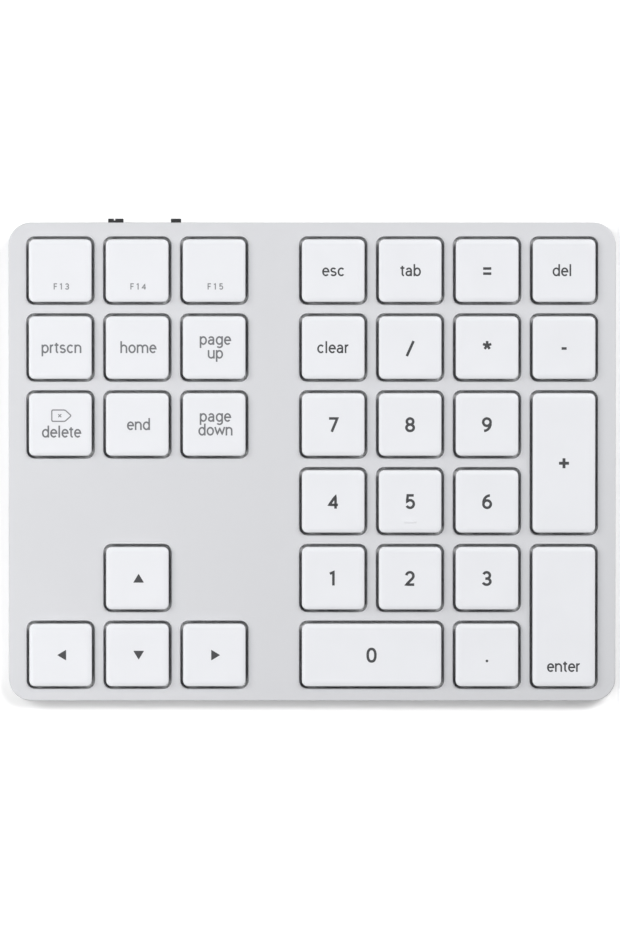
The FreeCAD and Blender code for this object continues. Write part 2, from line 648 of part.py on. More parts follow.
def micro_usb_port():
    """Shell of the charging port, narrower below, with its contact tongue."""
    def trumpet(grow, y0, y1):
        half = PORT_WIDTH / 2 + grow
        foot = half - 0.75
        low, high = BOARD_TOP - grow, BOARD_TOP + PORT_HEIGHT + grow
        corners = [(-foot, low), (foot, low), (half, low + 0.8), (half, high), (-half, high), (-half, low + 0.8)]
        points = [FreeCAD.Vector(PORT_X + x, y0, z) for x, z in corners]
        face = Part.Face(Part.makePolygon(points + points[:1]))
        return face.extrude(FreeCAD.Vector(0, y1 - y0, 0))

    shell = trumpet(0.0, PORT_REAR - PORT_LENGTH, PORT_REAR)
    mouth = trumpet(-0.3, PORT_REAR - PORT_LENGTH + 0.8, PORT_REAR)
    middle = BOARD_TOP + PORT_HEIGHT / 2
    tongue = box(PORT_X - 2.4, PORT_X + 2.4, PORT_REAR - 4.4, PORT_REAR - 0.7, middle + 0.05, middle + 0.6)
    return shell.cut(mouth).fuse(tongue)


def controller_board():
    """Board with its holes and the small parts soldered to it."""
    board = box(BOARD_LEFT, BOARD_RIGHT, BOARD_FRONT, BOARD_REAR, BOARD_BOTTOM, BOARD_TOP)
    holes = [rod((x, y, 0), (x, y, 5), INNER_SCREW_RADIUS + 0.1) for x, y in BOARD_SCREWS]
    parts = [
        box(-33.0, -27.0, 44.6, 50.6, BOARD_TOP, BOARD_TOP + 0.9),
        box(-25.4, -22.9, 47.6, 50.6, BOARD_TOP, BOARD_TOP + 0.8),
        box(-3.9, 0.1, 45.0, 48.4, BOARD_TOP, BOARD_TOP + 1.7),
    ]
    for column in range(4):
        x = -36.6 + 1.0 * (column % 2)
        y = 48.0 + 1.6 * (column // 2)
        parts.append(box(x, x + 0.5, y, y + 1.0, BOARD_TOP, BOARD_TOP + 0.4))
    for column in range(4):
        x = -28.4 + 1.1 * column
        parts.append(box(x, x + 0.5, 52.6, 53.6, BOARD_TOP, BOARD_TOP + 0.4))
    return board.cut(holes).fuse(parts).removeSplitter()


def wireless_module():
    """Shielded radio module with its bare antenna strip at the left."""
    carrier = box(-52.0, -40.6, 44.6, 51.2, BOARD_TOP, BOARD_TOP + 0.4)
    can = box(-49.4, -41.0, 45.0, 50.8, BOARD_TOP + 0.4, BOARD_TOP + 1.6)
    can = can.makeFillet(0.3, edges_at_height(can, BOARD_TOP + 1.6))
    return carrier.fuse(can)


def membrane_connector():
    """Upright socket that takes the end of the membrane tail."""
    tail_end = DECK.multVec(FreeCAD.Vector(CENTRE_STRIP, TAIL_V, TAIL_END))
    half = TAIL_WIDTH / 2
    body = box(CENTRE_STRIP - half - 1.2, CENTRE_STRIP + half + 1.2, tail_end.y - 1.3, tail_end.y + 1.3,
               BOARD_TOP, 4.4)
    slot = box(CENTRE_STRIP - half - 0.2, CENTRE_STRIP + half + 0.2, tail_end.y - 0.25, tail_end.y + 0.25,
               3.3, 5)
    return body.cut(slot)


def battery_cell():
    cell = box(BATTERY_LEFT, BATTERY_RIGHT, BATTERY_FRONT, BATTERY_REAR - 3.0, COVER_TOP, COVER_TOP + BATTERY_THICKNESS)
    sides = [e for e in cell.Edges if e.BoundBox.YLength > 5]
    cell = cell.makeFillet(0.8, sides)
    seal = box(BATTERY_LEFT + 0.5, BATTERY_RIGHT - 0.5, BATTERY_REAR - 3.0, BATTERY_REAR, COVER_TOP + 0.4, COVER_TOP + 1.4)
    return cell.fuse(seal).removeSplitter()


def battery_leads():
    """Two wires from the cell to the socket on the board."""
    leads = []
    for x in LEAD_X:
        path = [(x, BATTERY_REAR, 2.5), (x, 41.0, 3.9), (x, 45.0, 3.9)]
        pieces = [rod(a, b, LEAD_RADIUS) for a, b in zip(path, path[1:])]
        pieces.append(Part.makeSphere(LEAD_RADIUS, FreeCAD.Vector(*path[1])))
        leads.append(pieces[0].fuse(pieces[1:]))
    keep_clear = box(-10, 10, 30, BATTERY_REAR, 0, 6)
    return Part.makeCompound([lead.cut(keep_clear) for lead in leads])


def build_parts():
    parts = {}
    single_cap = keycap(0.0)
    wide_cap = keycap(PITCH)
    for name, u, v, turn, extra in KEYS:
        cap = wide_cap if extra else single_cap
        if name == "key_5":
            cap = cap.fuse(homing_bar())
        parts[name] = on_deck(cap, u, v, turn)
    bar = stabiliser_bar()
    for name, (u, v, turn) in WIDE_KEYS.items():
        parts[name.replace("key_", "stabiliser_bar_")] = on_deck(bar, u, v, turn)
    outer, inner = scissor_pair()
    dome = rubber_dome()
    parts["scissor_outer_frames"] = Part.makeCompound([on_deck(outer, u, v, t) for _, u, v, t, _ in KEYS])
    parts["scissor_inner_frames"] = Part.makeCompound([on_deck(inner, u, v, t) for _, u, v, t, _ in KEYS])
    parts["rubber_domes"] = Part.makeCompound([on_deck(dome, u, v, t) for _, u, v, t, _ in KEYS])
    parts["membrane_top_layer"] = on_deck(membrane_layer(SPACER_TOP, MEMBRANE_TOP, False))
    parts["membrane_spacer_layer"] = on_deck(membrane_layer(BOTTOM_LAYER_TOP, SPACER_TOP, True))
    parts["membrane_bottom_layer"] = on_deck(membrane_bottom_layer())
    parts["key_plate"] = on_deck(key_plate())
    parts["top_case"] = top_case()
    parts["bottom_cover"] = bottom_cover()
    parts["rubber_feet"] = rubber_feet()
    parts["cover_screws"] = cover_screws()
    parts["internal_screws"] = internal_screws()
    parts["power_switch_knob"] = power_switch_knob()
    parts["slide_switch_body"] = slide_switch_body()
    parts["pairing_button"] = pairing_button()
    parts["pairing_switch_body"] = pairing_switch_body()
    parts["pairing_switch_plunger"] = rod((BUTTON_X, 53.9, CONTROL_Z), (BUTTON_X, 55.5, CONTROL_Z), 0.6)
    parts["micro_usb_port"] = micro_usb_port()
    parts["controller_board"] = controller_board()
    parts["wireless_module"] = wireless_module()
    parts["membrane_connector"] = membrane_connector()
    parts["battery_cell"] = battery_cell()
    parts["battery_leads"] = battery_leads()
    return parts


os.makedirs("parts", exist_ok=True)
for node, shape in build_parts().items():
    shape.exportStep("parts/" + node + ".step")
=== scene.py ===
import json
import math

import bpy
from mathutils import Matrix, Vector


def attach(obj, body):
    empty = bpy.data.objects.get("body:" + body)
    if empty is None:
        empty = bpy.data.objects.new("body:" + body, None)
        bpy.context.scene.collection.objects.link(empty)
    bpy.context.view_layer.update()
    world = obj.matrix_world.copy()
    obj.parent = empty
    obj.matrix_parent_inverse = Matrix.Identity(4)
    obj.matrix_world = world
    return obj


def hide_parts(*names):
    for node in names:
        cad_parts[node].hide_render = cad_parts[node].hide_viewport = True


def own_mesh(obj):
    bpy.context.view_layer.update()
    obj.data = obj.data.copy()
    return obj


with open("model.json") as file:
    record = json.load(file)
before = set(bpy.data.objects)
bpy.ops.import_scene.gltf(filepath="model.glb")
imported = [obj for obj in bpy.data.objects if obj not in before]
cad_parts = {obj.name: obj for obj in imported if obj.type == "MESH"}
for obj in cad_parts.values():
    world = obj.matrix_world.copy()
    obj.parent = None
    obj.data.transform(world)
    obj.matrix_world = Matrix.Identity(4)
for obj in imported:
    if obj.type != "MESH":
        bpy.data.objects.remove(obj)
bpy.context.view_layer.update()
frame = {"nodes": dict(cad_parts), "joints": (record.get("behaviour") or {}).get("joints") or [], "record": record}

MM = 0.001
scene = bpy.context.scene

# The deck slopes about the X axis; "deck coordinates" are the row frame turned back by
# that slope, so u and v lie along the deck and w is square to it.
press_axis = {j["name"]: Vector(j["axis"]) for j in frame["joints"]}["key_5_press"]
SLOPE = math.atan2(press_axis.y, -press_axis.z)
TO_ROW = Matrix.Rotation(SLOPE, 3, "X")
TO_DECK = TO_ROW.inverted()

KEY_NODES = sorted(name for name in frame["nodes"] if name.startswith("key_") and name != "key_plate")


# Materials ------------------------------------------------------------------------------

def shade(colour, share):
    return tuple(min(1.0, channel * share) for channel in colour[:3]) + (1.0,)


def new_material(name, colour, roughness, metallic=0.0, **sockets):
    """Principled material with the values that are the same all over set on its sockets."""
    material = bpy.data.materials.new(name)
    material.use_nodes = True
    shader = material.node_tree.nodes["Principled BSDF"]
    shader.inputs["Base Color"].default_value = (*colour[:3], 1.0)
    shader.inputs["Roughness"].default_value = roughness
    shader.inputs["Metallic"].default_value = metallic
    for socket, value in sockets.items():
        shader.inputs[socket.replace("_", " ").title().replace("Ior", "IOR")].default_value = value
    return material


def add_noise(tree, size, detail=2.0, stretch=(1, 1, 1)):
    """Noise texture on object coordinates whose features are about the given size across."""
    coordinates = tree.nodes.new("ShaderNodeTexCoord")
    mapping = tree.nodes.new("ShaderNodeMapping")
    mapping.inputs["Scale"].default_value = stretch
    noise = tree.nodes.new("ShaderNodeTexNoise")
    noise.inputs["Scale"].default_value = 1.0 / size
    noise.inputs["Detail"].default_value = detail
    tree.links.new(coordinates.outputs["Object"], mapping.inputs["Vector"])
    tree.links.new(mapping.outputs["Vector"], noise.inputs["Vector"])
    return noise


def mottle(material, size, colour, spread, roughness, rough_spread, stretch=(1, 1, 1)):
    """Slow variation of colour and roughness across the surface."""
    tree = material.node_tree
    shader = tree.nodes["Principled BSDF"]
    noise = add_noise(tree, size, 3.0, stretch)
    ramp = tree.nodes.new("ShaderNodeValToRGB")
    ramp.color_ramp.elements[0].position = 0.3
    ramp.color_ramp.elements[1].position = 0.7
    ramp.color_ramp.elements[0].color = shade(colour, 1 - spread)
    ramp.color_ramp.elements[1].color = shade(colour, 1 + spread)
    tree.links.new(noise.outputs["Fac"], ramp.inputs["Fac"])
    tree.links.new(ramp.outputs["Color"], shader.inputs["Base Color"])
    spans = tree.nodes.new("ShaderNodeMapRange")
    spans.inputs["From Min"].default_value = 0.3
    spans.inputs["From Max"].default_value = 0.7
    spans.inputs["To Min"].default_value = roughness - rough_spread
    spans.inputs["To Max"].default_value = roughness + rough_spread
    tree.links.new(noise.outputs["Fac"], spans.inputs["Value"])
    tree.links.new(spans.outputs["Result"], shader.inputs["Roughness"])


def grain(material, size, strength, depth, stretch=(1, 1, 1)):
    """Fine relief of the surface, such as blasting, moulded texture or brushing."""
    tree = material.node_tree
    noise = add_noise(tree, size, 2.0, stretch)
    bump = tree.nodes.new("ShaderNodeBump")
    bump.inputs["Strength"].default_value = strength
    bump.inputs["Distance"].default_value = depth
    tree.links.new(noise.outputs["Fac"], bump.inputs["Height"])
    tree.links.new(bump.outputs["Normal"], tree.nodes["Principled BSDF"].inputs["Normal"])


def surface(name, colour, roughness, metallic=0.0, spread=0.02, patch=8 * MM, rough_spread=0.03,
            grain_size=0.15 * MM, grain_strength=0.2, grain_depth=0.02 * MM, stretch=(1, 1, 1), **sockets):
    material = new_material(name, colour, roughness, metallic, **sockets)
    mottle(material, patch, colour, spread, roughness, rough_spread, stretch)
    grain(material, grain_size, grain_strength, grain_depth, stretch)
    return material


TRACK_UNIT = MM / 0.42        # tracks are half of this apart one way and a quarter of it the other


def board_material():
    """Green solder resist with paler copper tracks showing through it."""
    colour = (0.015, 0.12, 0.06)
    material = surface("solder_resist", colour, 0.32, spread=0.05, patch=3 * MM, coat_weight=0.4)
    tree = material.node_tree
    coordinates = tree.nodes.new("ShaderNodeTexCoord")
    bricks = tree.nodes.new("ShaderNodeTexBrick")
    bricks.inputs["Scale"].default_value = 1 / TRACK_UNIT
    bricks.inputs["Mortar Size"].default_value = 0.035
    bricks.inputs["Mortar Smooth"].default_value = 0.1
    bricks.inputs["Color1"].default_value = (*colour, 1.0)
    bricks.inputs["Color2"].default_value = (0.012, 0.10, 0.05, 1.0)
    bricks.inputs["Mortar"].default_value = (0.06, 0.24, 0.11, 1.0)
    tree.links.new(coordinates.outputs["Object"], bricks.inputs["Vector"])
    tree.links.new(bricks.outputs["Color"], tree.nodes["Principled BSDF"].inputs["Base Color"])
    return material


MATERIALS = {
    "case_aluminium": surface(
        "blasted_aluminium", (0.555, 0.559, 0.575), 0.62, metallic=1.0, spread=0.008, patch=14 * MM,
        rough_spread=0.02, grain_size=0.11 * MM, grain_strength=0.22, grain_depth=0.012 * MM),
    "cover_plastic": surface(
        "cover_plastic", (0.62, 0.625, 0.64), 0.55, spread=0.012, patch=10 * MM,
        grain_size=0.22 * MM, grain_strength=0.45, grain_depth=0.02 * MM),
    "key_white": surface(
        "key_white", (0.627, 0.634, 0.657), 0.42, spread=0.006, patch=6 * MM, rough_spread=0.025,
        grain_size=0.09 * MM, grain_strength=0.12, grain_depth=0.008 * MM, specular_ior_level=0.45),
    "black_plastic": surface(
        "black_plastic", (0.006, 0.006, 0.007), 0.5, spread=0.08, patch=2 * MM,
        grain_size=0.12 * MM, grain_strength=0.3, grain_depth=0.01 * MM),
    "foot_rubber": surface(
        "foot_rubber", (0.20, 0.20, 0.205), 0.78, spread=0.05, patch=2.5 * MM,
        grain_size=0.18 * MM, grain_strength=0.6, grain_depth=0.03 * MM),
    "plate_steel": surface(
        "plate_steel", (0.42, 0.43, 0.44), 0.36, metallic=1.0, spread=0.03, patch=5 * MM,
        grain_size=0.2 * MM, grain_strength=0.25, grain_depth=0.01 * MM, stretch=(1, 0.05, 1)),
    "wire_steel": surface(
        "wire_steel", (0.58, 0.58, 0.59), 0.24, metallic=1.0, spread=0.02, patch=2 * MM,
        grain_size=0.08 * MM, grain_strength=0.15, grain_depth=0.005 * MM),
    "screw_steel": surface(
        "screw_steel", (0.50, 0.50, 0.51), 0.28, metallic=1.0, spread=0.05, patch=0.8 * MM,
        grain_size=0.06 * MM, grain_strength=0.2, grain_depth=0.005 * MM),
    "port_steel": surface(
        "port_steel", (0.62, 0.62, 0.64), 0.26, metallic=1.0, spread=0.03, patch=1.5 * MM,
        grain_size=0.1 * MM, grain_strength=0.15, grain_depth=0.006 * MM, stretch=(0.1, 1, 1)),
    "membrane_film": surface(
        "membrane_film", (0.76, 0.77, 0.78), 0.42, spread=0.05, patch=6 * MM,
        grain_size=0.5 * MM, grain_strength=0.1, grain_depth=0.01 * MM),
    "dome_silicone": surface(
        "dome_silicone", (0.62, 0.63, 0.62), 0.5, spread=0.02, patch=1.5 * MM,
        grain_size=0.1 * MM, grain_strength=0.15, grain_depth=0.008 * MM,
        subsurface_weight=0.25, subsurface_scale=1 * MM),
    "link_plastic": surface(
        "link_plastic", (0.68, 0.68, 0.67), 0.45, spread=0.02, patch=2 * MM,
        grain_size=0.12 * MM, grain_strength=0.2, grain_depth=0.008 * MM),
    "board_laminate": board_material(),
    "connector_plastic": surface(
        "connector_plastic", (0.66, 0.62, 0.52), 0.5, spread=0.03, patch=1 * MM,
        grain_size=0.1 * MM, grain_strength=0.25, grain_depth=0.008 * MM),
    "module_shield": surface(
        "module_shield", (0.66, 0.66, 0.65), 0.3, metallic=1.0, spread=0.03, patch=2 * MM,
        grain_size=0.15 * MM, grain_strength=0.2, grain_depth=0.008 * MM, stretch=(1, 0.1, 1)),
    "battery_foil": surface(
        "battery_foil", (0.55, 0.56, 0.58), 0.33, metallic=1.0, spread=0.03, patch=7 * MM,
        grain_size=3.0 * MM, grain_strength=0.5, grain_depth=0.12 * MM),
    "lead_insulation": surface(
        "lead_insulation", (0.42, 0.015, 0.012), 0.35, spread=0.05, patch=1 * MM,
        grain_size=0.2 * MM, grain_strength=0.2, grain_depth=0.01 * MM),
}


def legend_print(name, colour):
    return surface(
        name, colour, 0.55, spread=0.04, patch=1 * MM,
        grain_size=0.08 * MM, grain_strength=0.1, grain_depth=0.003 * MM)


LEGEND_GREY = legend_print("legend_grey", (0.032, 0.033, 0.036))
LEGEND_PALE = legend_print("legend_pale", (0.125, 0.128, 0.136))
LEGEND_FAINT = legend_print("legend_faint", (0.18, 0.184, 0.194))

slot_of_node = {s["node"]: s["material_slot"] for s in frame["record"]["subparts"]}
for name, node in frame["nodes"].items():
    node.data.materials.clear()
    node.data.materials.append(MATERIALS[slot_of_node[name]])


# Keycaps --------------------------------------------------------------------------------

CAP_ROUND = 0.22 * MM         # width and depth of the steep outer round
CAP_ROUND_DROP = 0.24 * MM
CAP_SLOPE = 0.95 * MM         # width and depth of the gentle slope inside it
CAP_SLOPE_DROP = 0.17 * MM
CAP_DISH = 0.10 * MM          # depth of the dish in the middle of the cap
CAP_WALL = 1.0 * MM
CLIP_MARGIN = 1.05 * MM       # the clips stand further in than the wall
CLIP_TOP_GAP = 0.02 * MM      # faces nearer the ceiling than this belong to the cap itself
CAP_CORNER = 1.4 * MM
CAP_CEILING_DEPTH = 1.0 * MM
CAP_INNER_CORNER = 0.6 * MM
CAP_FOOT_ROUND = 0.12 * MM
CAP_CEILING_ROUND = 0.15 * MM
CEILING_RINGS = (0.02, 0.5)
DISH_RINGS = (0.93, 0.85, 0.72, 0.58, 0.44, 0.3, 0.16, 0.04)
CORNER_STEPS = 8
SIDE_STEPS = 8
SKIN_RIM = 0.02 * MM          # the caps stay this far inside their CAD solids
DOUBLE_CAP = 10 * MM          # half the length of a double cap is more than this


def deck_vertices(node):
    return [TO_DECK @ vertex.co for vertex in frame["nodes"][node].data.vertices]


def deck_extent(points):
    low = Vector([min(p[i] for p in points) for i in range(3)])
    high = Vector([max(p[i] for p in points) for i in range(3)])
    return low, high


def cap_extent(name):
    """Corners of a keycap in deck coordinates, without the homing bar of key 5."""
    low, high = deck_extent(deck_vertices(name))
    if name == "key_5":
        high.z = deck_extent(deck_vertices("key_4"))[1].z
    return low, high


def outline(half_x, half_y, radius):
    """Points of a rounded rectangle, the same number for every size."""
    radius = max(radius, 1e-6)
    points = []
    for quarter in range(4):
        sign_x = (1, -1, -1, 1)[quarter]
        sign_y = (1, 1, -1, -1)[quarter]
        centre = Vector((sign_x * (half_x - radius), sign_y * (half_y - radius)))
        for step in range(CORNER_STEPS + 1):
            angle = math.radians(90 * quarter + 90 * step / CORNER_STEPS)
            points.append(centre + radius * Vector((math.cos(angle), math.sin(angle))))
        last = points[-1]
        following = quarter + 1
        next_x = (1, -1, -1, 1)[following % 4]
        next_y = (1, 1, -1, -1)[following % 4]
        next_centre = Vector((next_x * (half_x - radius), next_y * (half_y - radius)))
        start = math.radians(90 * following)
        target = next_centre + radius * Vector((math.cos(start), math.sin(start)))
        for step in range(1, SIDE_STEPS):
            points.append(last.lerp(target, step / SIDE_STEPS))
    return points


def dish_at(x, y, half_x, half_y):
    """Depth of the dish below the rim at a point of the cap."""
    power_x = 2.0 if half_x < DOUBLE_CAP else 6.0
    power_y = 2.0 if half_y < DOUBLE_CAP else 6.0
    rim = CAP_ROUND + CAP_SLOPE
    across = 1 - min(1.0, abs(x) / (half_x - rim)) ** power_x
    along = 1 - min(1.0, abs(y) / (half_y - rim)) ** power_y
    return CAP_DISH * across * along


def cap_edge_profile(height):
    """Inset and level of each ring from the side of the cap up to the rim of its dish."""
    start = math.radians(14)
    profile = []
    for step in range(6):
        turn = (math.pi / 2 - start) * step / 5
        share = math.sin(turn) / math.cos(start)
        inset = CAP_ROUND * (1 - math.cos(turn)) / (1 - math.sin(start))
        profile.append((inset, height - CAP_SLOPE_DROP - CAP_ROUND_DROP * (1 - share)))
    for step in range(1, 9):
        share = step / 8
        profile.append((CAP_ROUND + CAP_SLOPE * share, height - CAP_SLOPE_DROP * (1 - share) ** 1.7))
    return profile


def level_ring(half_x, half_y, corner, level, share=1.0):
    """Ring at one level, shrunk towards the middle by the given share."""
    return [(p.x * share, p.y * share, level) for p in outline(half_x, half_y, corner)]


def cap_rings(half_x, half_y, height):
    """Rings of the cap from the middle of its ceiling, round its foot, to the middle of its top."""
    rings = []
    ceiling = height - CAP_CEILING_DEPTH
    inner_x, inner_y = half_x - CAP_WALL, half_y - CAP_WALL
    for share in CEILING_RINGS:
        rings.append(level_ring(inner_x, inner_y, CAP_INNER_CORNER, ceiling, share))
    for inset, level in ((CAP_CEILING_ROUND, ceiling), (0.0, ceiling - CAP_CEILING_ROUND), (0.0, 0.0)):
        rings.append(level_ring(inner_x - inset, inner_y - inset, CAP_INNER_CORNER, level))
    for inset, level in ((CAP_FOOT_ROUND, 0.0), (0.0, CAP_FOOT_ROUND)):
        rings.append(level_ring(half_x - inset, half_y - inset, CAP_CORNER - inset, level))
    for inset, level in cap_edge_profile(height):
        rings.append(level_ring(half_x - inset, half_y - inset, CAP_CORNER - 0.5 * inset, level))
    edge = rings[-1]
    for share in DISH_RINGS:
        ring = []
        for x, y, _ in edge:
            ring.append((x * share, y * share, height - dish_at(x * share, y * share, half_x, half_y)))
        rings.append(ring)
    return rings


def mesh_object(name, points, faces, material, smooth_angle=35):
    mesh = bpy.data.meshes.new(name)
    mesh.from_pydata([TO_ROW @ Vector(p) for p in points], [], faces)
    mesh.validate()
    mesh.materials.append(material)
    mesh.polygons.foreach_set("use_smooth", [True] * len(mesh.polygons))
    mesh.set_sharp_from_angle(angle=math.radians(smooth_angle))
    piece = bpy.data.objects.new(name, mesh)
    scene.collection.objects.link(piece)
    return piece


def bridge(rings):
    """Faces between rings of equal length, closed at both ends."""
    count = len(rings[0])
    points = [point for ring in rings for point in ring]
    faces = []
    for level in range(len(rings) - 1):
        for i in range(count):
            j = (i + 1) % count
            low, high = level * count, (level + 1) * count
            faces.append((low + i, low + j, high + j, high + i))
    faces.append(tuple(reversed(range(count))))
    last = (len(rings) - 1) * count
    faces.append(tuple(range(last, last + count)))
    return points, faces


def clip_faces(name, low, high):
    """The clips under a cap, taken from its CAD solid."""
    mesh = frame["nodes"][name].data
    vertices = deck_vertices(name)
    ceiling = high.z - CAP_CEILING_DEPTH
    chosen = []
    for polygon in mesh.polygons:
        corners = [vertices[i] for i in polygon.vertices]
        middle = sum(corners, Vector()) / len(corners)
        inside_x = low.x + CLIP_MARGIN < middle.x < high.x - CLIP_MARGIN
        inside_y = low.y + CLIP_MARGIN < middle.y < high.y - CLIP_MARGIN
        if inside_x and inside_y and middle.z < ceiling - CLIP_TOP_GAP:
            chosen.append(tuple(polygon.vertices))
    return vertices, chosen


def keycap(name):
    low, high = cap_extent(name)
    half_x = (high.x - low.x) / 2 - SKIN_RIM
    half_y = (high.y - low.y) / 2 - SKIN_RIM
    centre = (low + high) / 2
    rings = cap_rings(half_x, half_y, high.z - low.z)
    points, faces = bridge(rings)
    points = [(x + centre.x, y + centre.y, z + low.z) for x, y, z in points]
    clip_points, clips = clip_faces(name, low, high)
    used = sorted({i for face in clips for i in face})
    index = {old: len(points) + new for new, old in enumerate(used)}
    points += [tuple(clip_points[i]) for i in used]
    faces += [tuple(index[i] for i in face) for face in clips]
    piece = mesh_object("cap_" + name[4:], points, faces, MATERIALS["key_white"])
    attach(piece, name)
    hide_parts(name)


for key in KEY_NODES:
    keycap(key)


# Homing bar of key 5, in mm
BAR_HALF_LENGTH = 1.5
BAR_HALF_WIDTH = 0.35
BAR_CORNER = 0.34
BAR_SETBACK = 5.0             # from the middle of the cap towards its front edge
BAR_CAP_HALF = 7.75           # half the side of the cap that the bar stands on
# Inset of each ring of the bar, and its level above the dish
BAR_PROFILE = ((0.0, -0.15), (0.0, 0.08), (0.06, 0.13), (0.14, 0.16), (0.24, 0.17))


def homing_bar():
    """Raised bar near the front edge of key 5."""
    low, high = cap_extent("key_5")
    middle = (low + high) / 2
    half = BAR_CAP_HALF * MM
    rings = []
    for inset, level in BAR_PROFILE:
        ring = []
        size = [(value - inset) * MM for value in (BAR_HALF_LENGTH, BAR_HALF_WIDTH, BAR_CORNER)]
        for p in outline(*size):
            y = p.y - BAR_SETBACK * MM
            foot = high.z - dish_at(p.x, y, half, half)
            ring.append((p.x + middle.x, y + middle.y, foot + level * MM))
        rings.append(ring)
    points, faces = bridge(rings)
    piece = mesh_object("homing_bar", points, faces, MATERIALS["key_white"])
    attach(piece, "key_5")


homing_bar()


# Legends --------------------------------------------------------------------------------
# Letters are drawn as strokes on a grid where a capital is 1 high.

def arc(cx, cy, rx, ry, start, end):
    """Part of an ellipse between two angles in degrees."""
    steps = max(6, int(abs(end - start) / 9))
    return [
        (cx + rx * math.cos(math.radians(start + (end - start) * i / steps)),
         cy + ry * math.sin(math.radians(start + (end - start) * i / steps)))
        for i in range(steps + 1)
    ]


def oval(cx, cy, rx, ry, square=2.0):
    """Closed loop between an ellipse (2) and a rectangle with very round corners (3)."""
    loop = []
    for i in range(48):
        angle = 2 * math.pi * i / 48
        c, s = math.cos(angle), math.sin(angle)
        x = math.copysign(abs(c) ** (2 / square), c)
        y = math.copysign(abs(s) ** (2 / square), s)
        loop.append((cx + rx * x, cy + ry * y))
    return loop + loop[:1]


def star(cx, cy, arm):
    """Five strokes from a middle point, one of them straight up."""
    return [
        [(cx, cy), (cx + arm * math.cos(math.radians(angle)), cy + arm * math.sin(math.radians(angle)))]
        for angle in (90, 162, 234, 306, 18)
    ]


